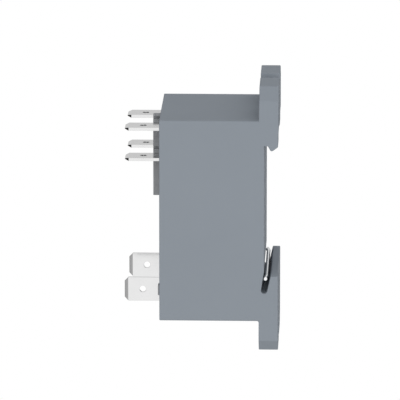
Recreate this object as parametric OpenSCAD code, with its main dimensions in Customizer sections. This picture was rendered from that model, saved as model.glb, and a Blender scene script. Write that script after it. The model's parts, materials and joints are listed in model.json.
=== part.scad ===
// Power relay with two make contacts, quick-connect tabs and a flange that also clips to a rail.
// Origin: midway between the two screw slots, on the flange's back plane.
// The tabs point to -Y, the rail lies behind at +Y, and +Z is up as mounted.

/* [Housing] */
// Width of the body
body_w = 34; // [31:0.5:40]
// Height of the body
body_h = 53; // [47:0.2:60]
// Radius of the body's long edges
edge_r = 0.5; // [0.3:0.1:1.2]
// Wall round the mechanism
wall = 2; // [1.6:0.1:2.2]
// Thinner wall round the terminal base
mouth_wall = 1.4; // [1:0.1:1.5]
// Wall between the mechanism and the rail seat
back_wall = 1.6; // [1.4:0.1:1.8]

/* [Flange] */
// Thickness of the flange
flange_t = 5; // [4.4:0.1:6]
// How far the flange stands past the body at each end
flange_reach = 8.5; // [7.6:0.1:12]
// Width of the flat end of the flange
flange_flat = 26.8; // [16:0.2:30]
// Height of the sloping corners of the flange
flange_drop = 3.3; // [1:0.1:5]
// Width of the open screw slots
slot_w = 5; // [4.2:0.1:5.6]
// Distance from the flange's end to the seat of the screw
slot_in = 5; // [4:0.1:5.6]
// Fillet where the flange meets the body
root_r = 0.5; // [0.3:0.1:1.6]

/* [Rail seat] */
// Depth of the seat, from the flange's back to the rail's face
seat_depth = 3.6; // [3.2:0.1:4]
// Width of the mounting rail
rail_h = 35; // [34.6:0.1:35.4]
// Thickness of the mounting rail
rail_t = 1; // [0.8:0.05:1.2]
// Height of the rail's centre above the middle of the flange
rail_rise = 2; // [1:0.1:3]
// Width of the two fixed hooks
hook_w = 7.5; // [3:0.1:9]
// How far the hooks reach over the rail's edge
hook_catch = 0.9; // [0.7:0.1:1.5]
// Play of the rail in the hooks
rail_play = 0.05; // [0:0.05:0.4]
// Thickness of the lower lip at its top
lip_t = 1.8; // [1.4:0.1:2]
// How far the lower lip reaches over the rail's edge
lip_catch = 1.6; // [1.2:0.1:2]

/* [Rail spring] */
// Diameter of the spring wire
wire_d = 1; // [0.7:0.05:1.1]
// Offset of the wire's middle from its ends
wire_jog = 0.3; // [0.1:0.05:0.5]
// Space between the wire's ends and the body's sides
wire_inset = 0.4; // [0.3:0.1:2]

/* [Tabs] */
// Width of the quick-connect tabs
tab_w = 6.3; // [4.8:0.1:6.4]
// Thickness of the tabs
tab_t = 0.8; // [0.5:0.1:1]
// Length of the tabs past the body's rim
tab_out = 9.1; // [8:0.1:12]
// Diameter of the hole in a tab
tab_hole_d = 1.7; // [1.2:0.1:2.2]
// Distance of that hole from the tip
tab_hole_in = 4.7; // [3:0.1:6]
// Corner cut at the tip
tab_corner = 1; // [0.3:0.1:1.2]
// Length of the lead-in bevels at the tip
tab_bevel = 0.9; // [0.4:0.1:1.4]
// Distance of the load tabs' middle from the body's side
pole_side = 9.1; // [8.7:0.1:9.5]
// Distance of the upper tab row below the body's top
row_drop = 3.6; // [3.4:0.1:4.1]
// Distance between the tab rows
row_pitch = 8; // [7.6:0.1:8.6]
// Distance of the coil tabs' middle from the body's side
coil_side = 3.9; // [3.6:0.1:4.2]
// Height of the coil tabs' middle above the body's bottom
coil_rise = 7.55; // [7:0.05:9]

/* [Terminal base] */
// Thickness of the terminal base
base_t = 3; // [2.6:0.1:3.4]
// How deep the base lies behind the rim
base_inset = 0.3; // [0:0.1:0.6]
// Play between fixed pieces that fit together
fit = 0.1; // [0.05:0.01:0.15]
// Thickness of the barrier between the poles
rib_t = 2.4; // [1.6:0.1:3]
// How far that barrier stands past the rim
rib_out = 2.15; // [0.5:0.05:6]
// Height of that barrier
rib_h = 21.4; // [12:0.1:23]

/* [Magnet] */
// Outer diameter of the coil
coil_d = 16.6; // [14:0.1:20]
// Space between the coil and the terminal base, which sets the depth of the body
coil_space = 1.1; // [0.6:0.1:9]
// Diameter of the core
core_d = 7; // [6:0.1:8]
// Diameter of the pole face
pole_d = 10.5; // [9:0.1:12]
// Thickness of the pole head
pole_t = 1.1; // [0.8:0.1:1.6]
// Thickness of the bobbin's flanges
bobbin_t = 1.2; // [0.8:0.1:1.4]
// Thickness of the yoke
yoke_t = 1.6; // [1.4:0.1:1.8]
// Width of the yoke and the armature
yoke_w = 18; // [15:0.1:19]
// Thickness of the armature
arm_plate_t = 1.7; // [1.4:0.1:2]
// Residual gap between the armature and the pole face when pulled in
pull_gap = 0.05; // [0.03:0.01:0.15]

/* [Contacts] */
// Diameter of the contact heads
contact_d = 4.5; // [3.5:0.1:5]
// Thickness of the contact heads
contact_t = 1; // [0.7:0.1:1.2]
// Open gap of the contacts
contact_gap = 1.5; // [1:0.05:1.7]
// Gap left between the contacts when pulled in
touch_gap = 0.05; // [0.03:0.01:0.1]
// Width of the moving arms
arm_w = 5.6; // [4:0.1:6]
// Thickness of the moving arms
arm_t = 0.5; // [0.3:0.05:0.6]
// Height of the contacts above the armature
arm_h = 14.25; // [13.8:0.05:16]
// Thickness of the flexible braids
braid_t = 0.9; // [0.6:0.1:1.1]

/* [Hidden] */
$fn = 64;
left = -1;
right = 1;
// Overshoot of cutting shapes
over = 1;
// Play of pieces that lie against each other
play = 0.02;

// Depth of the body, from its front rim to the rail seat, stacked up round the coil
bobbin_rim = 0.7;
bobbin_d = coil_d + 2 * bobbin_rim;
bobbin_gap = 0.4;
spring_room = 1.1;
magnet_d = bobbin_d + bobbin_gap + yoke_t + spring_room;
body_d = base_inset + base_t + coil_space + magnet_d + back_wall;

// Planes of the housing, front to back
seat_y = -seat_depth;
rim_y = seat_y - body_d;
cavity_y = seat_y - back_wall;
top_z = body_h / 2;
flange_z = top_z + flange_reach;
slot_z = flange_z - slot_in;

// Rail seat: hooks above, lip and spring slot below
hook_z = rail_rise + rail_h / 2;
hook_tip_z = hook_z - hook_catch;
rail_low_z = hook_z - rail_h;
lip_z = rail_low_z + lip_catch;
// Height of the sloping back of a hook's tip
hook_slope = 1.05;
// Lead-in of a hook's inner face and width of its blunt tip
hook_lead = 0.55;
hook_tip = 0.45;
// The notch above the rail's edge: its height, and how far it narrows there
hook_relief = 0.4;
hook_wedge = 0.2;
// How far a hook's back stands in front of the flange's back
hook_set = 0.12;
// Lower edge of the pad between the hooks, above the rail
pad_gap = 4;
// Sloping corners of the lip
lip_corner_w = 3.4;
lip_corner_h = 0.65;
// Round foot of the spring slot: radius, and depth below the lip's top
foot_r = 0.8;
foot_drop = 4.4;
foot_y = seat_y;
foot_z = lip_z - foot_drop;
// The slot's front wall starts to lean at this height above the lip
slot_lean = 0.9;

// Spring wire: its ends lie in the slot, close to the level of the rail's lower edge
wire_out = 0.33;
wire_lift = 0.25;
wire_y = foot_y + wire_out;
wire_z = rail_low_z + wire_lift;
// Steps of the wire near its ends: length of the ends and of the bends, and lean of the step
end_x = body_w / 2 - wire_inset;
end_l = 0.8;
jog_l = 1.8;
jog_lean = 60;
bend_steps = 8;

// Terminal base
base_front_y = rim_y + base_inset;
base_y = base_front_y + base_t;
mouth_x = body_w / 2 - mouth_wall;
mouth_z = top_z - mouth_wall;
room_x = body_w / 2 - wall;
room_z = top_z - wall;
rib_gap = 0.5;
rib_top = mouth_z - rib_gap;
// Grooves across the barrier above each tab row: height, depth and rise over the tabs' middle
groove_h = 0.65;
groove_in = rib_t * 3 / 8;
groove_rise = 0.93;

// Tabs
tip_y = rim_y - tab_out;
tip_t = tab_t / 4;
pole_x = body_w / 2 - pole_side;
coil_x = body_w / 2 - coil_side;
com_z = top_z - row_drop;
no_z = com_z - row_pitch;
coil_z = coil_rise - top_z;
// Middle of the contacts, above the lower tab row
contact_rise = 3.1;
contact_z = no_z + contact_rise;
// Shoulder that seats a terminal on the base's inner face
shoulder_l = 1;
shoulder_out = 0.7;
// Boss beside each coil tab
boss_t = 1.2;
boss_h = 2.6;
boss_out = 0.45;

// Magnet, stacked up from the housing's floor
floor_gap = 0.5;
yoke_low_z = floor_gap - room_z;
yoke_z = yoke_low_z + yoke_t;
coil_low_z = yoke_z + bobbin_t;
// The coil fills the height left below the armature
plate_top_z = contact_z - arm_h;
plate_z = plate_top_z - arm_plate_t;
pole_z = plate_z - pull_gap;
bobbin_z = pole_z - pole_t;
coil_top_z = bobbin_z - bobbin_t;
coil_l = coil_top_z - coil_low_z;
yoke_y = cavity_y - spring_room;
leg_y = yoke_y - yoke_t;
yoke_gap = 1;
yoke_front_y = base_y + yoke_gap;
bobbin_side = 1.2;
bobbin_w = coil_d + 2 * bobbin_side;
coil_y = leg_y - bobbin_gap - bobbin_d / 2;
tube_t = 0.8;
core_step = 1;
core_rim = 0.5;
core_foot_d = core_d - 2 * core_step;
// Tenons of the yoke in the base
tenon_w = 4;
tenon_x = 5;
tenon_l = 1.2;

// Hinge: the yoke's rounded top edge in the armature's groove
hinge_y = (yoke_y + leg_y) / 2;
hinge_z = pole_z;
hinge_r = yoke_t / 2;
hinge_play = 0.05;
plate_over = 2.75;
plate_front_y = coil_y - pole_d / 2 - plate_over;

// Contacts, in the pulled-in position
carrier_t = 2.2;
carrier_d = 6.4;
// Sockets of the moving arms, with a floor below each arm
socket_side = 0.8;
socket_wall = 1.2;
socket_floor = 0.6;
socket_w = arm_w + 2 * socket_side;
socket_d = arm_t + 2 * socket_wall;
carrier_w = 2 * pole_x + socket_w;
arm_y = coil_y;
arm_front_y = arm_y - arm_t;
arm_low_z = plate_top_z + socket_floor;
arm_top_z = contact_z + contact_d / 2;
touch_y = arm_front_y - contact_t;
fixed_y = touch_y - touch_gap;
plate_y = fixed_y - contact_t;
shank_d = 2;
// Bevel round a contact's face, and the rim of the closed ends of rivets
face_t = 0.2;
face_in = 0.4;
rivet_t = 0.3;
rivet_rim = 0.4;
// Rim of the fixed contact's plate above the contact
plate_rim = 0.25;
// Turn of the armature from pulled in to open
open_deg = atan(contact_gap / (contact_z - hinge_z));

// Braids, from the tails of the upper terminals to the backs of the moving arms
tail_in = 2.6;
tail_drop = 0.5;
tail_y = hinge_y - tail_in;
tail_low_z = contact_z - tail_drop;
braid_w = 4;
braid_end = 4;
braid_drop = 0.4;

// Leaf spring on the yoke's back
leaf_t = 0.25;
leaf_w = 10;
leaf_l = 10;
leaf_low_z = pole_z - leaf_l;
// Its straight part, its kick round the armature's end and its bend on to the armature
leaf_below = 1.6;
leaf_kick = 1;
leaf_gap = 0.1;
leaf_bend_r = 0.5;
leaf_rise = 0.35;
leaf_reach = 2.6;
rivet_d = 1.6;
rivet_head_d = 3;
rivet_head_t = 0.55;
leaf_rivet_x = 2.8;
leaf_rivet_drop = 7;
leaf_rivet_z = pole_z - leaf_rivet_drop;

// Carrier rivets
carrier_rivet_d = 1.4;
carrier_rivet_x = (pole_x - socket_w / 2) / 2;
carrier_head_d = 2.4;
carrier_head_t = 0.5;

// Tape and leads of the coil
tape_t = 0.2;
tape_low = 2.6;
wire_turn = 0.36;
lead_d = 0.5;
lead_rise = 1.3;
lead_z = coil_low_z + lead_rise;
// Way of a lead: out past the bobbin, forward, and its end on the tail
lead_out = 1.6;
lead_run = 3;
lead_lift = 0.6;
lead_end = 1.5;
coil_tail_l = 4.9;
coil_tail_y = base_y + coil_tail_l;

// Extrudes a profile drawn in Y and Z across the width
module across(w) {
    rotate([90, 0, 90]) linear_extrude(w, center = true) children();
}

// Extrudes a profile drawn in X and Z from y0 back to y1
module along(y0, y1) {
    translate([0, y1, 0]) rotate([90, 0, 0]) linear_extrude(y1 - y0) children();
}

// A rectangle centred on the origin, with round corners
module round_rect(w, h, r) {
    square([w - 2 * r, h], center = true);
    square([w, h - 2 * r], center = true);
    for (x = [-1, 1], y = [-1, 1]) translate([x * (w / 2 - r), y * (h / 2 - r)]) circle(r);
}

// Direction of a path before and after one of its points
function unit(v) = v / norm(v);
function ahead(p, i) = i < len(p) - 1 ? unit(p[i + 1] - p[i]) : unit(p[i] - p[i - 1]);
function behind(p, i) = i > 0 ? unit(p[i] - p[i - 1]) : ahead(p, i);

// Offset of a strip's edge from its middle line, mitred at the bends
function edge(p, i, t) =
    let (a = behind(p, i), b = ahead(p, i), n = unit([-a[1] - b[1], a[0] + b[0]]))
    n * t / 2 / (n * [-a[1], a[0]]);

// A bent strip of even thickness along the given points
module strip(points, t) {
    last = len(points) - 1;
    polygon(concat(
        [for (i = [0 : last]) points[i] + edge(points, i, t)],
        [for (i = [last : -1 : 0]) points[i] - edge(points, i, t)]
    ));
}

// A round wire along the given points, none of whose stretches runs along up
module wire(points, d, up, sides) {
    last = len(points) - 1;
    rings = [for (i = [0 : last])
        let (t = unit(ahead(points, i) + behind(points, i)), n = unit(cross(t, up)), b = cross(n, t))
        for (k = [0 : sides - 1]) points[i] + d / 2 * (cos(360 * k / sides) * n + sin(360 * k / sides) * b)];
    walls = [for (i = [0 : last - 1], k = [0 : sides - 1]) let (j = (k + 1) % sides)
        [i * sides + k, i * sides + j, (i + 1) * sides + j, (i + 1) * sides + k]];
    ends = [[for (k = [sides - 1 : -1 : 0]) k], [for (k = [0 : sides - 1]) last * sides + k]];
    polyhedron(rings, concat(walls, ends));
}

// Points on an arc in the plane of a profile
function arc(c, r, a0, a1, n) =
    [for (i = [0 : n]) let (a = a0 + (a1 - a0) * i / n) c + r * [cos(a), sin(a)]];

// Turns a point from the pulled-in to the open position of the armature
function opened(p) =
    let (y = p[0] - hinge_y, z = p[1] - hinge_z)
    [hinge_y + y * cos(open_deg) + z * sin(open_deg), hinge_z - y * sin(open_deg) + z * cos(open_deg)];

// Turns pieces of the armature from the pulled-in to the open position
module open_pose() {
    translate([0, hinge_y, hinge_z]) rotate([-open_deg, 0, 0]) translate([0, -hinge_y, -hinge_z]) children();
}

// Outline of the flange: flat ends with sloping corners
module flange_outline() {
    half = body_w / 2;
    flat = flange_flat / 2;
    shoulder = flange_z - flange_drop;
    polygon([
        [-half, -shoulder], [-flat, -flange_z], [flat, -flange_z], [half, -shoulder],
        [half, shoulder], [flat, flange_z], [-flat, flange_z], [-half, shoulder]
    ]);
}

// Concave fillets where the flange stands out of the body
module root_fillets() {
    for (s = [-1, 1]) scale([1, s]) translate([-flange_t, top_z]) difference() {
        translate([-root_r, -edge_r]) square([root_r, root_r + edge_r]);
        translate([-root_r, root_r]) circle(root_r);
    }
}

// Profile of a hook, drawn in Y and Z, with its root in the body
module hook_profile() {
    root = seat_y - back_wall / 2;
    inner = seat_y + rail_t + rail_play;
    polygon([
        [root, hook_z + hook_relief], [inner - hook_wedge, hook_z + hook_relief],
        [inner + hook_lead, hook_tip_z], [inner + hook_lead + hook_tip, hook_tip_z],
        [-hook_set, hook_tip_z + hook_slope], [-hook_set, hook_z + pad_gap], [root, hook_z + pad_gap]
    ]);
}

// Profile of the slot that holds the spring wire
module slot_profile() {
    translate([foot_y, foot_z]) circle(foot_r);
    polygon([
        [foot_y - foot_r, foot_z], [foot_y + foot_r, foot_z], [-lip_t, lip_z],
        [-lip_t, lip_z + slot_lean], [seat_y, lip_z + slot_lean]
    ]);
}

// Everything that is taken away behind the rail seat, between the pads
module seat_cut() {
    across(body_w + 2 * over) translate([seat_y, lip_z])
        square([seat_depth + over, hook_z + pad_gap - lip_z]);
    across(body_w + 2 * over) slot_profile();
    half = body_w / 2;
    for (s = [left, right]) scale([s, 1, 1]) along(seat_y, over)
        polygon([
            [half - lip_corner_w, lip_z], [half + over, lip_z - lip_corner_h * (1 + over / lip_corner_w)],
            [half + over, lip_z + over], [half - lip_corner_w, lip_z + over]
        ]);
}

// Open slots for the panel screws
module screw_slots() {
    for (s = [-1, 1]) along(-flange_t - over, over) {
        translate([0, s * slot_z]) circle(slot_w / 2);
        translate([-slot_w / 2, s > 0 ? slot_z : -flange_z - over]) square([slot_w, slot_in + over]);
    }
}

// Space for the mechanism, open at the front
module room() {
    along(rim_y - over, base_y) round_rect(2 * mouth_x, 2 * mouth_z, edge_r);
    along(rim_y, cavity_y) square([2 * room_x, 2 * room_z], center = true);
}

module housing() {
    color("#8c939b") {
        difference() {
            union() {
                along(rim_y, seat_y) round_rect(body_w, body_h, edge_r);
                along(-flange_t, 0) flange_outline();
                across(body_w - 2 * edge_r) root_fillets();
            }
            seat_cut();
            screw_slots();
            room();
        }
        for (s = [left, right]) translate([s * (body_w - hook_w) / 2, 0, 0]) across(hook_w) hook_profile();
    }
}

// Slot through the base for a blade lying in the XY plane
module blade_slot(w, t) {
    along(base_front_y - over, base_y + over) square([w + 2 * fit, t + 2 * fit], center = true);
}

// Places one child at each load tab
module at_load_tabs() {
    for (s = [left, right], z = [com_z, no_z]) translate([s * pole_x, 0, z]) children();
}

module terminal_base() {
    wall_z = no_z - tab_w / 2;
    color("#7d8184") difference() {
        union() {
            along(base_front_y, base_y) round_rect(2 * (mouth_x - fit), 2 * (mouth_z - fit), edge_r);
            translate([-rib_t / 2, rim_y - rib_out, rib_top - rib_h])
                cube([rib_t, rib_out + base_inset + over, rib_h]);
            // inner wall between the poles
            translate([-rib_t / 4, base_y - over, wall_z])
                cube([rib_t / 2, plate_y - base_y + over, room_z - fit - wall_z]);
            for (s = [left, right]) scale([s, 1, 1])
                translate([coil_x + tab_t / 2 + 2 * fit, rim_y - boss_out, coil_z - boss_h / 2])
                    cube([boss_t, boss_out + base_inset + over, boss_h]);
        }
        for (s = [left, right], z = [com_z, no_z]) along(rim_y - rib_out - over, base_front_y)
            translate([s * rib_t / 2, z + groove_rise]) square([2 * groove_in, groove_h], center = true);
        at_load_tabs() blade_slot(tab_w, tab_t);
        for (s = [left, right]) translate([s * coil_x, 0, coil_z]) blade_slot(tab_t, tab_w);
        for (s = [left, right]) along(base_y - tenon_l - fit, base_y + over)
            translate([s * tenon_x, yoke_low_z + yoke_t / 2])
                square([tenon_w + 2 * fit, yoke_t + 2 * fit], center = true);
    }
}

// Straight wire with stepped, square-cut ends that presses on the rail's lower edge
module din_spring() {
    half = concat([[end_x, 0]], [for (i = [0 : bend_steps])
        [end_x - end_l - jog_l * i / bend_steps, wire_jog * (1 - cos(180 * i / bend_steps)) / 2]]);
    route = concat(
        [for (p = half) [-p[0], 0, p[1]]],
        [for (i = [len(half) - 1 : -1 : 0]) [half[i][0], 0, half[i][1]]]
    );
    color("#c9cdd1") translate([0, wire_y, wire_z]) rotate([-jog_lean, 0, 0])
        wire(route, wire_d, [0, 1, 0], 16);
}

// Tab blade in the XY plane, from its tip back to y1, with shoulders on the base
module blade(y1) {
    half = tab_w / 2;
    difference() {
        intersection() {
            linear_extrude(tab_t, center = true) polygon([
                [-half, y1], [-half, tip_y + tab_corner], [-half + tab_corner, tip_y],
                [half - tab_corner, tip_y], [half, tip_y + tab_corner], [half, y1]
            ]);
            across(tab_w + over) polygon([
                [y1, -tab_t / 2], [tip_y + tab_bevel, -tab_t / 2], [tip_y, -tip_t / 2],
                [tip_y, tip_t / 2], [tip_y + tab_bevel, tab_t / 2], [y1, tab_t / 2]
            ]);
        }
        translate([0, tip_y + tab_hole_in, 0]) cylinder(h = tab_t + over, d = tab_hole_d, center = true);
    }
    translate([-half - shoulder_out, base_y, -tab_t / 2]) cube([tab_w + 2 * shoulder_out, shoulder_l, tab_t]);
}

// Hole for a contact's shank through an upright plate
module shank_hole(y0, y1) {
    translate([0, y0 - over, contact_z]) rotate([-90, 0, 0]) cylinder(h = y1 - y0 + 2 * over, d = shank_d);
}

// Upper terminal: runs over the contacts, then its tail hangs down behind them
module com_terminal(s) {
    color("#d8d8d6") translate([s * pole_x, 0, 0]) {
        translate([0, 0, com_z]) blade(tail_y);
        translate([-tab_w / 2, tail_y - tab_t, tail_low_z])
            cube([tab_w, tab_t, com_z + tab_t / 2 - tail_low_z]);
    }
}

// Lower terminal: turns up inside and holds the fixed contact
module no_terminal(s) {
    plate_top = contact_z + contact_d / 2 + plate_rim;
    color("#d8d8d6") translate([s * pole_x, 0, 0]) difference() {
        union() {
            translate([0, 0, no_z]) blade(plate_y);
            translate([-tab_w / 2, plate_y - tab_t, no_z - tab_t / 2])
                cube([tab_w, tab_t, plate_top - no_z + tab_t / 2]);
        }
        shank_hole(plate_y - tab_t, plate_y);
    }
}

// Upright coil tab with a narrow tail inside for the lead
module coil_terminal(s) {
    color("#d8d8d6") translate([s * coil_x, 0, coil_z]) rotate([0, 90, 0]) {
        blade(base_y + shoulder_l);
        translate([-tab_w / 4, base_y, -tab_t / 2]) cube([tab_w / 2, coil_tail_y - base_y, tab_t]);
    }
}

// Riveted contact: head, shank through the plate and closed end
module contact(face_y, back_y, plate) {
    way = sign(face_y - back_y);
    translate([0, back_y, contact_z]) rotate([-90 * way, 0, 0]) {
        translate([0, 0, plate]) cylinder(h = contact_t - face_t, d = contact_d);
        translate([0, 0, plate + contact_t - face_t])
            cylinder(h = face_t, d1 = contact_d, d2 = contact_d - 2 * face_in);
        cylinder(h = plate, d = shank_d);
        translate([0, 0, -rivet_t]) cylinder(h = rivet_t, d = shank_d + 2 * rivet_rim);
    }
}

module fixed_contact(s) {
    color("#e6e6e4") translate([s * pole_x, 0, 0]) contact(fixed_y, plate_y - tab_t, tab_t);
}

module moving_contact(s) {
    color("#e6e6e4") open_pose() translate([s * pole_x, 0, 0]) contact(touch_y, arm_y, arm_t);
}

// Holes for the leaf spring's rivets
module leaf_rivet_holes(y0, y1) {
    for (s = [left, right]) translate([s * leaf_rivet_x, y0 - over, leaf_rivet_z]) rotate([-90, 0, 0])
        cylinder(h = y1 - y0 + 2 * over, d = rivet_d);
}

// Bent plate that carries the coil: bottom leg, back leg and rounded hinge edge
module yoke() {
    color("#9a9c9e") difference() {
        union() {
            across(yoke_w) {
                translate([yoke_front_y, yoke_low_z]) square([yoke_y - yoke_front_y, yoke_t]);
                translate([leg_y, yoke_low_z]) square([yoke_t, hinge_z - yoke_low_z]);
                translate([hinge_y, hinge_z]) circle(hinge_r);
            }
            for (s = [left, right]) translate([s * tenon_x - tenon_w / 2, base_y - tenon_l, yoke_low_z])
                cube([tenon_w, yoke_front_y - base_y + tenon_l + over, yoke_t]);
        }
        translate([0, coil_y, yoke_low_z - over]) cylinder(h = yoke_t + 2 * over, d = core_foot_d);
        leaf_rivet_holes(leg_y, yoke_y);
    }
}

// Core with its pole head and its riveted foot
module core() {
    color("#a2a4a6") translate([0, coil_y, 0]) {
        translate([0, 0, bobbin_z]) cylinder(h = pole_t, d = pole_d);
        translate([0, 0, yoke_z]) cylinder(h = bobbin_z - yoke_z, d = core_d);
        translate([0, 0, yoke_low_z]) cylinder(h = yoke_t, d = core_foot_d);
        translate([0, 0, yoke_low_z - rivet_t]) cylinder(h = rivet_t, d = core_foot_d + 2 * core_rim);
    }
}

module bobbin() {
    tube_d = core_d + fit;
    color("#3c4044") translate([0, coil_y, 0]) difference() {
        union() {
            for (z = [yoke_z, coil_top_z]) translate([0, 0, z]) linear_extrude(bobbin_t)
                round_rect(bobbin_w, bobbin_d, edge_r);
            translate([0, 0, yoke_z]) cylinder(h = bobbin_z - yoke_z, d = tube_d + 2 * tube_t);
        }
        translate([0, 0, yoke_z - over]) cylinder(h = bobbin_z - yoke_z + 2 * over, d = tube_d);
    }
}

// Copper winding, with its last turns showing below the tape
module coil_winding() {
    inner_d = core_d + fit + 2 * tube_t;
    turns = floor(tape_low / wire_turn) - 1;
    color("#a4562a") translate([0, coil_y, 0]) rotate_extrude() {
        translate([inner_d / 2, coil_low_z]) square([(coil_d - wire_turn - inner_d) / 2, coil_l]);
        translate([inner_d / 2, coil_low_z + tape_low]) square([(coil_d - inner_d) / 2, coil_l - tape_low]);
        for (i = [0 : turns]) translate([(coil_d - wire_turn) / 2, coil_low_z + wire_turn * (i + 0.5)])
            circle(wire_turn / 2);
    }
}

module coil_tape() {
    tape_d = coil_d + 2 * play;
    color("#c7b45a") translate([0, coil_y, coil_low_z + tape_low]) rotate_extrude()
        translate([tape_d / 2, 0]) square([tape_t, coil_l - tape_low]);
}

// Enamelled lead from the last turns to the coil tab's tail
module coil_lead(s) {
    from = [coil_d / 2 + lead_d / 2, coil_y, lead_z];
    side = [coil_d / 2 + lead_out, coil_y - lead_run, lead_z + lead_lift];
    to = [coil_x - tab_t / 2 - lead_d / 2, coil_tail_y - lead_end, coil_z];
    color("#a4562a") scale([s, 1, 1]) wire([from, side, to], lead_d, [0, 0, 1], 8);
}

// Leaf that holds the armature on its edge and turns it back
module hinge_spring() {
    base_line = yoke_y + leaf_t / 2;
    tail_top = opened([yoke_y, plate_top_z]);
    rest = opened([hinge_y - leaf_reach, plate_top_z + leaf_t / 2 + play]);
    clear_y = tail_top[0] + leaf_t + leaf_gap;
    bend = [clear_y - leaf_bend_r, tail_top[1] + leaf_rise];
    color("#b9bcc0") difference() {
        across(leaf_w) strip(concat(
            [[base_line, leaf_low_z], [base_line, hinge_z - leaf_below], [clear_y, tail_top[1] - leaf_kick]],
            arc(bend, leaf_bend_r, 0, 90, 4), [rest]
        ), leaf_t);
        leaf_rivet_holes(yoke_y, yoke_y + leaf_t);
    }
}

// Two rivets that hold the leaf to the yoke
module spring_rivets() {
    color("#b0b2b4") for (s = [left, right])
        translate([s * leaf_rivet_x, leg_y, leaf_rivet_z]) rotate([-90, 0, 0]) {
            cylinder(h = yoke_t + leaf_t, d = rivet_d);
            translate([0, 0, -rivet_t]) cylinder(h = rivet_t, d = rivet_d + 2 * rivet_rim);
            translate([0, 0, yoke_t + leaf_t]) cylinder(h = rivet_head_t, d = rivet_head_d);
        }
}

// Iron plate that rocks on the yoke's edge
module armature() {
    color("#9a9c9e") open_pose() difference() {
        translate([-yoke_w / 2, plate_front_y, plate_z]) cube([yoke_w, yoke_y - plate_front_y, arm_plate_t]);
        across(yoke_w + over) translate([hinge_y, hinge_z]) circle(hinge_r + hinge_play);
        for (s = [left, right]) translate([s * carrier_rivet_x, arm_y - arm_t / 2, plate_z - over]) {
            cylinder(h = arm_plate_t + 2 * over, d = carrier_rivet_d);
            translate([0, 0, over]) cylinder(h = arm_plate_t / 2, d1 = carrier_head_d, d2 = carrier_rivet_d);
        }
    }
}

// Insulating block on the armature that holds the two moving arms
module contact_carrier() {
    color("#33373a") open_pose() translate([0, arm_y - arm_t / 2, 0]) difference() {
        union() {
            translate([0, 0, plate_top_z]) linear_extrude(carrier_t) round_rect(carrier_w, carrier_d, edge_r);
            for (s = [left, right]) translate([s * pole_x, 0, plate_top_z]) linear_extrude(2 * carrier_t)
                round_rect(socket_w, socket_d, edge_r);
        }
        for (s = [left, right]) {
            translate([s * pole_x - arm_w / 2 - fit, -arm_t / 2 - fit, arm_low_z])
                cube([arm_w + 2 * fit, arm_t + 2 * fit, 2 * carrier_t]);
            translate([s * carrier_rivet_x, 0, plate_top_z - over])
                cylinder(h = carrier_t + 2 * over, d = carrier_rivet_d);
        }
    }
}

// Two countersunk rivets through the armature and the carrier
module carrier_rivets() {
    color("#b0b2b4") open_pose() for (s = [left, right])
        translate([s * carrier_rivet_x, arm_y - arm_t / 2, plate_z]) {
            cylinder(h = arm_plate_t / 2, d1 = carrier_head_d, d2 = carrier_rivet_d);
            cylinder(h = arm_plate_t + carrier_t, d = carrier_rivet_d);
            translate([0, 0, arm_plate_t + carrier_t]) cylinder(h = carrier_head_t, d = carrier_head_d);
        }
}

// Springy arm that stands in the carrier and holds the moving contact
module moving_arm(s) {
    corner = arm_w / 4;
    color("#b98a52") open_pose() translate([s * pole_x, 0, 0]) difference() {
        along(arm_front_y, arm_y) polygon([
            [-arm_w / 2, arm_low_z], [arm_w / 2, arm_low_z], [arm_w / 2, arm_top_z - corner],
            [arm_w / 2 - corner, arm_top_z], [corner - arm_w / 2, arm_top_z], [-arm_w / 2, arm_top_z - corner]
        ]);
        shank_hole(arm_front_y, arm_y);
    }
}

// Flat braid hanging in a loop from a terminal's tail to a moving arm
module braid(s) {
    front_y = arm_y + braid_t / 2 + play;
    front_z = contact_z - contact_d / 2 - braid_drop;
    front = opened([front_y, front_z]);
    front_low = opened([front_y, front_z - braid_end]);
    back_y = tail_y - tab_t - braid_t / 2;
    loop_r = (back_y - front_low[0]) / 2;
    loop = [front_low[0] + loop_r, front_low[1]];
    color("#b06a3c") translate([s * pole_x, 0, 0]) across(braid_w)
        strip(concat([[back_y, tail_low_z + braid_end]], arc(loop, loop_r, 0, -180, 12), [front]), braid_t);
}

housing();
terminal_base();
din_spring();
com_terminal(left);  // com_terminal_left
com_terminal(right);  // com_terminal_right
no_terminal(left);  // no_terminal_left
no_terminal(right);  // no_terminal_right
coil_terminal(left);  // coil_terminal_left
coil_terminal(right);  // coil_terminal_right
fixed_contact(left);  // fixed_contact_left
fixed_contact(right);  // fixed_contact_right
yoke();
core();
bobbin();
coil_winding();
coil_tape();
coil_lead(left);  // coil_lead_left
coil_lead(right);  // coil_lead_right
hinge_spring();
spring_rivets();
armature();
contact_carrier();
carrier_rivets();
moving_arm(left);  // moving_arm_left
moving_arm(right);  // moving_arm_right
moving_contact(left);  // moving_contact_left
moving_contact(right);  // moving_contact_right
braid(left);  // braid_left
braid(right);  // braid_right
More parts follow.
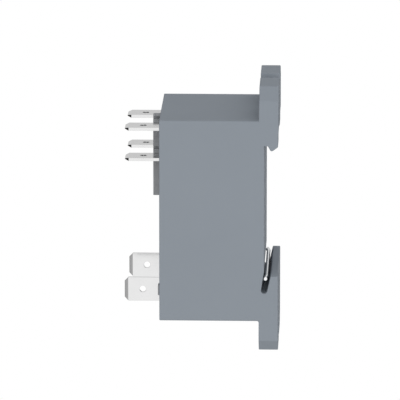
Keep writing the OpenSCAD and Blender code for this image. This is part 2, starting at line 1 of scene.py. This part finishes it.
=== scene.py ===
import json
import math
import bmesh
import bpy
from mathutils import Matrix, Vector


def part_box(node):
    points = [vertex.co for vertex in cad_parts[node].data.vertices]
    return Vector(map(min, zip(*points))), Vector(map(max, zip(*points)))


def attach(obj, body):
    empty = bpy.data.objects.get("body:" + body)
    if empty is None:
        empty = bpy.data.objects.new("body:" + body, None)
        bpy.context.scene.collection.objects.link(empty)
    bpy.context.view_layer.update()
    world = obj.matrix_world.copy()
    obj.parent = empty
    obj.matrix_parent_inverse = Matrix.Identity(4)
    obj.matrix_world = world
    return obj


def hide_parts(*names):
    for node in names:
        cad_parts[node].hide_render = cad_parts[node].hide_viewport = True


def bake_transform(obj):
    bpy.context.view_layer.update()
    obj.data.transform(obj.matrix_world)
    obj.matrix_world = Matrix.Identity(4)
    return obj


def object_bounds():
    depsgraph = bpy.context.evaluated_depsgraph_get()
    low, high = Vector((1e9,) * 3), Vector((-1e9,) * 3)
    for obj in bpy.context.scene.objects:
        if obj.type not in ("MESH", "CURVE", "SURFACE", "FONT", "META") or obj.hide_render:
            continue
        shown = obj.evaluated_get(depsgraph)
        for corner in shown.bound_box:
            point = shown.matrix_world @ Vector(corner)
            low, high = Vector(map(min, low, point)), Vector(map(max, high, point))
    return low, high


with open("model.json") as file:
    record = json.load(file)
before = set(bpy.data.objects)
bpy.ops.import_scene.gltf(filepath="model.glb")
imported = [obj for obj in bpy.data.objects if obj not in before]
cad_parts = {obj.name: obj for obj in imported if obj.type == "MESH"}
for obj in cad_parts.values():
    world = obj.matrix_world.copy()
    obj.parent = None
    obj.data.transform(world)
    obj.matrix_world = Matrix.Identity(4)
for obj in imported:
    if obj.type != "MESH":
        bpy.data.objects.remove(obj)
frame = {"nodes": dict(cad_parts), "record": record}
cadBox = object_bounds()  # the CAD model's box, before anything is added
nodes = frame["nodes"]
mm = 0.001
sides = ("left", "right")
bothWays = (-1, 1)  # the part is the same on both sides of X = 0
print("frame loaded:", len(nodes), "nodes")


# small helpers

def linear(hexColour):  # sRGB hex to the linear colour that a socket takes
    channels = [int(hexColour[i:i + 2], 16) / 255 for i in (1, 3, 5)]
    return [c / 12.92 if c <= 0.04045 else ((c + 0.055) / 1.055) ** 2.4 for c in channels] + [1.0]


def addNode(tree, kind, inputs=None, **settings):  # one node with its settings, values and links
    node = tree.nodes.new(kind)
    for name, value in settings.items():
        setattr(node, name, value)
    for key, value in (inputs or {}).items():
        if isinstance(value, bpy.types.NodeSocket):
            tree.links.new(value, node.inputs[key])
        else:
            node.inputs[key].default_value = value
    return node


def newMaterial(name):  # an empty material and its node tree
    material = bpy.data.materials.new(name)
    material.use_nodes = True
    material.node_tree.nodes.clear()
    return material, material.node_tree


def onlySelect(piece):  # operators act on all that is selected
    bpy.ops.object.select_all(action="DESELECT")
    piece.select_set(True)
    bpy.context.view_layer.objects.active = piece


# materials

mouldedGrey = {  # glass-filled PBT, moulded in a spark-eroded tool: even, satin, with hardly any grain
    "dark": "#8a9199", "light": "#8e959d", "cloud": 16 * mm,
    "grain": 0.5 * mm, "depth": 0.012 * mm,  # the real grain is 0.1 mm, drawn coarser to show
    "roughLow": 0.6, "roughHigh": 0.72, "shine": 0.04,
}
mouldedBase = {  # polyamide terminal base, a warmer grey than the housing
    "dark": "#999b9e", "light": "#9ea0a3", "cloud": 12 * mm,
    "grain": 0.5 * mm, "depth": 0.012 * mm,
    "roughLow": 0.6, "roughHigh": 0.72, "shine": 0.04,
}
mouldedBlack = {  # black polyamide of the bobbin and the carrier
    "dark": "#1f2123", "light": "#292b2d", "cloud": 6 * mm,
    "grain": 0.4 * mm, "depth": 0.01 * mm,
    "roughLow": 0.38, "roughHigh": 0.5, "shine": 0.4,
}


def mouldedPlastic(name, look):  # soft clouds of tone, fine eroded grain in bump and gloss
    material, tree = newMaterial(name)
    place = addNode(tree, "ShaderNodeTexCoord").outputs["Object"]
    cloud = addNode(tree, "ShaderNodeTexNoise", {"Vector": place, "Scale": 1 / look["cloud"], "Detail": 3.0})
    grain = addNode(tree, "ShaderNodeTexNoise", {"Vector": place, "Scale": 1 / look["grain"], "Detail": 2.0})
    tone = addNode(tree, "ShaderNodeMix", {
        0: cloud.outputs["Fac"], 6: linear(look["dark"]), 7: linear(look["light"])}, data_type="RGBA")
    gloss = addNode(tree, "ShaderNodeMapRange", {
        "Value": grain.outputs["Fac"], "To Min": look["roughLow"], "To Max": look["roughHigh"]})
    bump = addNode(tree, "ShaderNodeBump", {
        "Height": grain.outputs["Fac"], "Strength": 0.5, "Distance": look["depth"]})
    shader = addNode(tree, "ShaderNodeBsdfPrincipled", {
        "Base Color": tone.outputs[2], "Roughness": gloss.outputs["Result"],
        "Normal": bump.outputs["Normal"], "Specular IOR Level": look["shine"]})
    addNode(tree, "ShaderNodeOutputMaterial", {"Surface": shader.outputs["BSDF"]})
    return material


brightTin = {  # tinned brass strip: rolled along the tab, bright with faint rolling lines
    "dark": "#dcdcdc", "light": "#e2e2e2", "cloud": 4 * mm, "stretch": (9.0, 1.0, 9.0),
    "line": 1.6 * mm, "depth": 0.0004 * mm, "roughLow": 0.1, "roughHigh": 0.16,
}
springWire = {  # hard-drawn steel wire: die lines run along it
    "dark": "#e8eaec", "light": "#f4f5f6", "cloud": 3 * mm, "stretch": (1.0, 8.0, 8.0),
    "line": 1.5 * mm, "depth": 0.003 * mm, "roughLow": 0.16, "roughHigh": 0.28,
}
platedIron = {  # soft iron with a dull zinc coat
    "dark": "#8f9194", "light": "#a3a6aa", "cloud": 5 * mm, "stretch": (1.0, 1.0, 1.0),
    "line": 0.8 * mm, "depth": 0.004 * mm, "roughLow": 0.34, "roughHigh": 0.48,
}
rolledLeaf = {  # blue-grey rolled spring strip
    "dark": "#9a9ea3", "light": "#aeb2b6", "cloud": 4 * mm, "stretch": (9.0, 9.0, 1.0),
    "line": 1.4 * mm, "depth": 0.003 * mm, "roughLow": 0.2, "roughHigh": 0.34,
}
rivetSteel = {  # upset heads, slightly matt from the die
    "dark": "#999b9d", "light": "#b0b2b4", "cloud": 1.5 * mm, "stretch": (1.0, 1.0, 1.0),
    "line": 0.4 * mm, "depth": 0.004 * mm, "roughLow": 0.3, "roughHigh": 0.42,
}
contactSilver = {  # silver alloy, lightly frosted by its first arcs
    "dark": "#d8d7d3", "light": "#ecebe8", "cloud": 1.2 * mm, "stretch": (1.0, 1.0, 1.0),
    "line": 0.3 * mm, "depth": 0.004 * mm, "roughLow": 0.24, "roughHigh": 0.4,
}
bronzeStrip = {  # copper alloy spring strip, rolled along the arm
    "dark": "#b0803f", "light": "#c3955a", "cloud": 3 * mm, "stretch": (9.0, 9.0, 1.0),
    "line": 1.4 * mm, "depth": 0.003 * mm, "roughLow": 0.24, "roughHigh": 0.36,
}


def rolledMetal(name, look):  # tone in soft patches, with gloss and bump in lines along the strip
    material, tree = newMaterial(name)
    place = addNode(tree, "ShaderNodeTexCoord").outputs["Object"]
    along = addNode(tree, "ShaderNodeMapping", {"Vector": place, "Scale": look["stretch"]}).outputs["Vector"]
    cloud = addNode(tree, "ShaderNodeTexNoise", {"Vector": place, "Scale": 1 / look["cloud"], "Detail": 2.0})
    lines = addNode(tree, "ShaderNodeTexNoise", {"Vector": along, "Scale": 1 / look["line"], "Detail": 4.0})
    tone = addNode(tree, "ShaderNodeMix", {
        0: cloud.outputs["Fac"], 6: linear(look["dark"]), 7: linear(look["light"])}, data_type="RGBA")
    gloss = addNode(tree, "ShaderNodeMapRange", {
        "Value": lines.outputs["Fac"], "To Min": look["roughLow"], "To Max": look["roughHigh"]})
    bump = addNode(tree, "ShaderNodeBump", {
        "Height": lines.outputs["Fac"], "Strength": 0.4, "Distance": look["depth"]})
    shader = addNode(tree, "ShaderNodeBsdfPrincipled", {
        "Base Color": tone.outputs[2], "Metallic": 1.0, "Roughness": gloss.outputs["Result"],
        "Normal": bump.outputs["Normal"]})
    addNode(tree, "ShaderNodeOutputMaterial", {"Surface": shader.outputs["BSDF"]})
    return material


enamelledCopper = {  # round copper wire under clear enamel, wound side by side
    # the darker tone below is painted shade in the hollows between the turns; the crown tone is the copper's
    # own
    "groove": "#6e2f14", "crown": "#b5602c", "pitch": 0.36 * mm, "slant": 0, "depth": 0.05 * mm,
    "rough": 0.3, "coat": 0.6, "coatRough": 0.12,
}
wovenCopper = {  # flat braid of fine bare copper strands, which cross it at a slant
    # the darker tone below is painted shade in the hollows between the strands; the crown tone is the
    # copper's own
    "groove": "#6b3418", "crown": "#c47a48", "pitch": 0.7 * mm, "slant": 45, "depth": 0.08 * mm,
    "rough": 0.34, "coat": 0.0, "coatRough": 0.1,
}


def woundCopper(name, look):  # bands of wire, with painted shade: darker in the hollows between the turns
    material, tree = newMaterial(name)
    place = addNode(tree, "ShaderNodeTexCoord").outputs["Object"]
    laid = addNode(tree, "ShaderNodeMapping", {
        "Vector": place, "Rotation": (0.0, math.radians(look["slant"]), 0.0)}).outputs["Vector"]
    bands = addNode(tree, "ShaderNodeTexWave", {
        "Vector": laid, "Scale": math.pi / (10 * look["pitch"]),  # a wave is pi / 10 long at scale 1
        "Distortion": 0.4, "Detail": 1.0}, wave_type="BANDS", bands_direction="Z")
    # the tone follows the bands: painted shade in the hollows, the copper's own tone on the crowns
    tone = addNode(tree, "ShaderNodeMix", {
        0: bands.outputs["Fac"], 6: linear(look["groove"]), 7: linear(look["crown"])}, data_type="RGBA")
    bump = addNode(tree, "ShaderNodeBump", {
        "Height": bands.outputs["Fac"], "Strength": 0.6, "Distance": look["depth"]})
    shader = addNode(tree, "ShaderNodeBsdfPrincipled", {
        "Base Color": tone.outputs[2], "Metallic": 1.0, "Roughness": look["rough"],
        "Normal": bump.outputs["Normal"], "Coat Weight": look["coat"], "Coat Roughness": look["coatRough"]})
    addNode(tree, "ShaderNodeOutputMaterial", {"Surface": shader.outputs["BSDF"]})
    return material


coilTape = {  # yellow polyester film, wound tight with faint wrinkles
    "dark": "#b99a2e", "light": "#cfb24a", "wrinkle": 2.2 * mm, "stretch": (1.0, 1.0, 4.0),
    "depth": 0.02 * mm, "roughLow": 0.18, "roughHigh": 0.32, "ior": 1.6,
}


def polyesterFilm(name, look):  # glossy film: wrinkles along its length change gloss and bump, and their tone is painted shade and painted light of the wrinkles
    material, tree = newMaterial(name)
    place = addNode(tree, "ShaderNodeTexCoord").outputs["Object"]
    along = addNode(tree, "ShaderNodeMapping", {"Vector": place, "Scale": look["stretch"]}).outputs["Vector"]
    wrinkle = addNode(tree, "ShaderNodeTexNoise", {
        "Vector": along, "Scale": 1 / look["wrinkle"], "Detail": 3.0})
    # darker in the wrinkles' hollows and lighter on their ridges: painted shade and painted light
    tone = addNode(tree, "ShaderNodeMix", {
        0: wrinkle.outputs["Fac"], 6: linear(look["dark"]), 7: linear(look["light"])}, data_type="RGBA")
    gloss = addNode(tree, "ShaderNodeMapRange", {
        "Value": wrinkle.outputs["Fac"], "To Min": look["roughLow"], "To Max": look["roughHigh"]})
    bump = addNode(tree, "ShaderNodeBump", {
        "Height": wrinkle.outputs["Fac"], "Strength": 0.4, "Distance": look["depth"]})
    shader = addNode(tree, "ShaderNodeBsdfPrincipled", {
        "Base Color": tone.outputs[2], "Roughness": gloss.outputs["Result"],
        "Normal": bump.outputs["Normal"], "IOR": look["ior"]})
    addNode(tree, "ShaderNodeOutputMaterial", {"Surface": shader.outputs["BSDF"]})
    return material


finishes = {  # one material for each slot of the record
    "housing_plastic": mouldedPlastic("moulded grey PBT", mouldedGrey),
    "base_plastic": mouldedPlastic("moulded grey polyamide", mouldedBase),
    "bobbin_plastic": mouldedPlastic("moulded black polyamide", mouldedBlack),
    "tinned_brass": rolledMetal("bright tinned brass", brightTin),
    "spring_wire": rolledMetal("drawn spring steel wire", springWire),
    "iron": rolledMetal("zinc-plated soft iron", platedIron),
    "leaf_steel": rolledMetal("rolled spring steel", rolledLeaf),
    "rivet_steel": rolledMetal("plated rivet steel", rivetSteel),
    "silver_alloy": rolledMetal("silver contact alloy", contactSilver),
    "copper_alloy": rolledMetal("rolled bronze strip", bronzeStrip),
    "copper_wire": woundCopper("enamelled copper wire", enamelledCopper),
    "copper_braid": woundCopper("woven copper braid", wovenCopper),
    "tape": polyesterFilm("polyester coil tape", coilTape),
}
slotOf = {part["node"]: part["material_slot"] for part in frame["record"]["subparts"]}
for name, node in nodes.items():
    node.data.materials.clear()
    node.data.materials.append(finishes[slotOf[name]])
print("materials made:", len(finishes))


# rounded pieces: in each look, sharp and smooth are angles in degrees

hair = 0.01 * mm  # edges this close to a plane lie in it
farOff = 1.0  # well outside the part


def slab(axis, place):  # a thin slice of space, whose edges stay sharp
    low, high = [-farOff] * 3, [farOff] * 3
    low[axis] = place - hair
    high[axis] = place + hair
    return low, high


def outerEdges(piece, sharp, skip):  # marks the sharp outward edges that get a radius
    shape = bmesh.new()
    shape.from_mesh(piece.data)
    weight = shape.edges.layers.float.new("bevel_weight_edge")
    count = 0
    for edge in shape.edges:
        middle = (edge.verts[0].co + edge.verts[1].co) / 2
        if edge.is_convex and edge.calc_face_angle(0) > sharp and not any(
                all(low[i] <= middle[i] <= high[i] for i in range(3)) for low, high in skip):
            edge[weight] = 1.0
            count += 1
    shape.to_mesh(piece.data)
    shape.free()
    return count


def cleanCopy(nodeName, pieceName):  # a copy of a node, merged from loose triangles into whole faces
    piece = bpy.data.objects.new(pieceName, nodes[nodeName].data.copy())
    bpy.context.scene.collection.objects.link(piece)
    onlySelect(piece)
    bpy.ops.object.mode_set(mode="EDIT")
    bpy.ops.mesh.select_all(action="SELECT")
    bpy.ops.mesh.remove_doubles(threshold=0.001 * mm)
    bpy.ops.mesh.dissolve_limited(angle_limit=math.radians(0.5))
    bpy.ops.object.mode_set(mode="OBJECT")
    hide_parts(nodeName)
    return piece


def roundedCopy(nodeName, pieceName, body, look):  # a copy with moulded or stamped edges
    piece = cleanCopy(nodeName, pieceName)
    count = outerEdges(piece, math.radians(look["sharp"]), look.get("skip", ()))
    bevel = piece.modifiers.new("edge radius", "BEVEL")
    bevel.limit_method = "WEIGHT"
    bevel.width = look["radius"]
    bevel.segments = look["segments"]
    bevel.use_clamp_overlap = False
    bevel.loop_slide = False  # even widths, also where a flat face is split
    bpy.ops.object.modifier_apply(modifier=bevel.name)
    bpy.ops.object.shade_smooth_by_angle(angle=math.radians(look["smooth"]))
    even = piece.modifiers.new("even normals", "WEIGHTED_NORMAL")  # large faces stay flat
    even.keep_sharp = True
    even.weight = 100
    bpy.ops.object.modifier_apply(modifier=even.name)
    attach(piece, body)
    print(pieceName, "rounded along", count, "edges,", len(piece.data.polygons), "faces")


housingLook = {
    "radius": 0.22 * mm, "segments": 3, "sharp": 32, "smooth": 35,
    "step": 23.5 * mm, "filletEnd": 16.5 * mm,  # places along Z and X where the form is finer than the radius
}
housingLook["skip"] = [slab(2, housingLook["step"])]  # the step above the hooks
housingLook["skip"] += [slab(0, way * housingLook["filletEnd"]) for way in bothWays]  # the root fillets' ends
roundedCopy("housing", "moulded_housing", "case", housingLook)

baseLook = {
    "radius": 0.12 * mm, "segments": 2, "sharp": 32, "smooth": 35,
    "inset": 0.3 * mm,  # the base's face lies this far behind the housing's rim
    "margin": 0.2 * mm, "bossSide": 13.7 * mm,
}
baseLow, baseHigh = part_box("terminal_base")
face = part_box("housing")[0][1] + baseLook["inset"]
slotsLow = (baseLow[0] + baseLook["margin"], face - hair, baseLow[2] + baseLook["margin"])
slotsHigh = (baseHigh[0] - baseLook["margin"], baseHigh[1], baseHigh[2] - baseLook["margin"])
baseLook["skip"] = [(slotsLow, slotsHigh)]  # the slots for the tabs are sharp
baseLook["skip"] += [slab(0, way * baseLook["bossSide"]) for way in bothWays]  # so are the sides beside them
roundedCopy("terminal_base", "moulded_base", "case", baseLook)

tabLook = {"radius": 0.05 * mm, "segments": 2, "sharp": 14, "smooth": 25}  # punched and tumbled
for side in sides:
    for kind in ("com", "no", "coil"):
        roundedCopy(f"{kind}_terminal_{side}", f"{kind}_tab_{side}", "case", tabLook)

wireLook = {"radius": 0.1 * mm, "segments": 2, "sharp": 40, "smooth": 40}  # only its cut ends are sharp
roundedCopy("din_spring", "rail_spring_wire", "din_spring", wireLook)

ironLook = {"radius": 0.15 * mm, "segments": 2, "sharp": 40, "smooth": 35}  # stamped and bent
roundedCopy("yoke", "bent_yoke", "case", ironLook)
roundedCopy("armature", "stamped_armature", "armature", ironLook)

bobbinLook = {"radius": 0.12 * mm, "segments": 2, "sharp": 40, "smooth": 35}  # the carrier is moulded like it
roundedCopy("bobbin", "moulded_bobbin", "case", bobbinLook)
roundedCopy("contact_carrier", "moulded_carrier", "armature", bobbinLook)

armLook = {"radius": 0.06 * mm, "segments": 2, "sharp": 40, "smooth": 35}  # stamped from thin strip
for side in sides:
    roundedCopy(f"moving_arm_{side}", f"spring_arm_{side}", "armature", armLook)


# pieces that bend in the relay when the armature moves, cut across where they bend

def bendingCopy(nodeName, pieceName, look):  # a copy cut across at even steps from start to end, where it bends
    piece = cleanCopy(nodeName, pieceName)
    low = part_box(nodeName)[0][look["axis"]]
    line = Vector([float(i == look["axis"]) for i in range(3)])
    start = line * (low + look["start"])
    end = line * (low + look["end"])
    bpy.ops.object.mode_set(mode="EDIT")
    for i in range(look["cuts"]):
        bpy.ops.mesh.select_all(action="SELECT")
        bpy.ops.mesh.bisect(plane_co=start.lerp(end, i / (look["cuts"] - 1)), plane_no=line)
    bpy.ops.object.mode_set(mode="OBJECT")
    bpy.ops.object.shade_smooth_by_angle(angle=math.radians(look["smooth"]))
    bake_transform(piece)
    print(pieceName, "bends,", len(piece.data.polygons), "faces")


leafLook = {  # bends above its rivets; start and end are measured from its lowest point
    "axis": 2, "start": 5.5 * mm, "end": 12.0 * mm, "cuts": 8, "smooth": 30,
}
bendingCopy("hinge_spring", "leaf_spring", leafLook)

braidLook = {  # bends from leg to leg; start and end are measured from its front
    "axis": 1, "start": 4.6 * mm, "end": 1.2 * mm, "cuts": 8, "smooth": 40,
}
for side in sides:
    bendingCopy(f"braid_{side}", f"woven_braid_{side}", braidLook)


# camera

view = {  # the photograph's view: nearly square on to the right side, from a little above
    "azimuth": 91.845, "elevation": 13.15, "distance": 1324 * mm, "target": (0, -20 * mm, 2.1 * mm),
    "right": -0.71 * mm, "up": -0.385 * mm, "lens": 456.8, "sensor": 36.0, "clip": 10 * mm,
}
turn = math.radians(view["azimuth"])
rise = math.radians(view["elevation"])
back = Vector((math.sin(turn) * math.cos(rise), -math.cos(turn) * math.cos(rise), math.sin(rise)))
rightWay = Vector((math.cos(turn), math.sin(turn), 0))
upWay = back.cross(rightWay)
aim = Vector(view["target"]) + rightWay * view["right"] + upWay * view["up"]
bpy.ops.object.camera_add(location=aim + back * view["distance"], rotation=(math.pi / 2 - rise, 0, turn))
camera = bpy.context.active_object
camera.data.lens = view["lens"]
camera.data.sensor_width = view["sensor"]
camera.data.clip_start = view["clip"]
bpy.context.scene.camera = camera


# lamp and room

studio = {  # plain soft light: an even room, darker before and behind, and one large lamp beside the camera
    "room": 1.04, "roomTilt": 0.04, "roomBend": -0.92,  # light of the room along Y: level, slope, curve
    "roomLift": -0.18,  # and its slope along Z
    "lamp": 0.83, "lampAngle": 40, "lampElevation": 12,
    "shineNear": 1.1, "shineFar": 0.69,  # the room as metal shows it, on the camera's side and behind
    "shineDark": 0.03, "darkFrom": -0.25, "darkTo": -0.95,  # and its dark side before the tabs
}
bpy.ops.object.light_add(type="SUN", rotation=(math.radians(90 - studio["lampElevation"]), 0, turn))
lamp = bpy.context.active_object
lamp.data.energy = studio["lamp"]
lamp.data.angle = math.radians(studio["lampAngle"])
lamp.visible_glossy = False  # metal shows the even room, not the lamp

world = bpy.data.worlds.new("studio room")
bpy.context.scene.world = world
world.use_nodes = True
room = world.node_tree
room.nodes.clear()
path = addNode(room, "ShaderNodeLightPath")
direction = addNode(room, "ShaderNodeTexCoord").outputs["Generated"]
wayX, wayY, wayZ = addNode(room, "ShaderNodeSeparateXYZ", {0: direction}).outputs
bend = addNode(room, "ShaderNodeMath", {
    0: wayY, 1: studio["roomBend"], 2: studio["roomTilt"]}, operation="MULTIPLY_ADD")
lift = addNode(room, "ShaderNodeMath", {
    0: wayZ, 1: studio["roomLift"], 2: studio["room"]}, operation="MULTIPLY_ADD")
soft = addNode(room, "ShaderNodeMath", {
    0: wayY, 1: bend.outputs[0], 2: lift.outputs[0]}, operation="MULTIPLY_ADD")
shine = addNode(room, "ShaderNodeMapRange", {
    "Value": wayX, "From Min": -1.0, "To Min": studio["shineFar"], "To Max": studio["shineNear"]})
dark = addNode(room, "ShaderNodeMapRange", {
    "Value": wayY, "From Min": studio["darkTo"], "From Max": studio["darkFrom"],
    "To Min": studio["shineDark"]}, interpolation_type="SMOOTHSTEP")
crisp = addNode(room, "ShaderNodeMath", {
    0: shine.outputs["Result"], 1: dark.outputs["Result"]}, operation="MULTIPLY")
shinyRays = addNode(room, "ShaderNodeMath", {  # rays that show the room in a reflection or through a piece
    0: path.outputs["Is Glossy Ray"], 1: path.outputs["Is Transmission Ray"]}, operation="MAXIMUM")
level = addNode(room, "ShaderNodeMix", {0: shinyRays.outputs[0], 2: soft.outputs[0], 3: crisp.outputs[0]})
light = addNode(room, "ShaderNodeBackground", {"Color": (1, 1, 1, 1), "Strength": level.outputs[0]})
white = addNode(room, "ShaderNodeBackground", {"Color": (1, 1, 1, 1), "Strength": 1.0})
mixed = addNode(room, "ShaderNodeMixShader", {
    0: path.outputs["Is Camera Ray"], 1: light.outputs[0], 2: white.outputs[0]})
addNode(room, "ShaderNodeOutputWorld", {"Surface": mixed.outputs[0]})


# floor

paperFloor = {"drop": 250 * mm, "size": 1.2, "colour": "#f4f4f2"}  # matt white paper, well below the part
floorHeight = cadBox[0][2] - paperFloor["drop"]
bpy.ops.mesh.primitive_plane_add(size=paperFloor["size"], location=(0, 0, floorHeight))
floor = bpy.context.active_object
floor.name = "studio_floor"
paper, tree = newMaterial("white paper sweep")
matt = addNode(tree, "ShaderNodeBsdfDiffuse", {"Color": linear(paperFloor["colour"])})
bright = addNode(tree, "ShaderNodeEmission", {"Color": (1, 1, 1, 1), "Strength": 1.0})
path = addNode(tree, "ShaderNodeLightPath")
shinyRays = addNode(tree, "ShaderNodeMath", {
    0: path.outputs["Is Glossy Ray"], 1: path.outputs["Is Transmission Ray"]}, operation="MAXIMUM")
seenRays = addNode(tree, "ShaderNodeMath", {
    0: path.outputs["Is Camera Ray"], 1: shinyRays.outputs[0]}, operation="MAXIMUM")
seen = addNode(tree, "ShaderNodeMixShader", {
    0: seenRays.outputs[0], 1: matt.outputs[0], 2: bright.outputs[0]})
below = addNode(tree, "ShaderNodeNewGeometry").outputs["Backfacing"]
clear = addNode(tree, "ShaderNodeBsdfTransparent")  # from below, the floor hides nothing
sheet = addNode(tree, "ShaderNodeMixShader", {0: below, 1: seen.outputs[0], 2: clear.outputs[0]})
addNode(tree, "ShaderNodeOutputMaterial", {"Surface": sheet.outputs[0]})
floor.data.materials.append(paper)
floor.visible_glossy = False  # metal shows the room alone

bpy.context.scene.view_settings.view_transform = "Standard"
print("camera, lamp and floor placed")
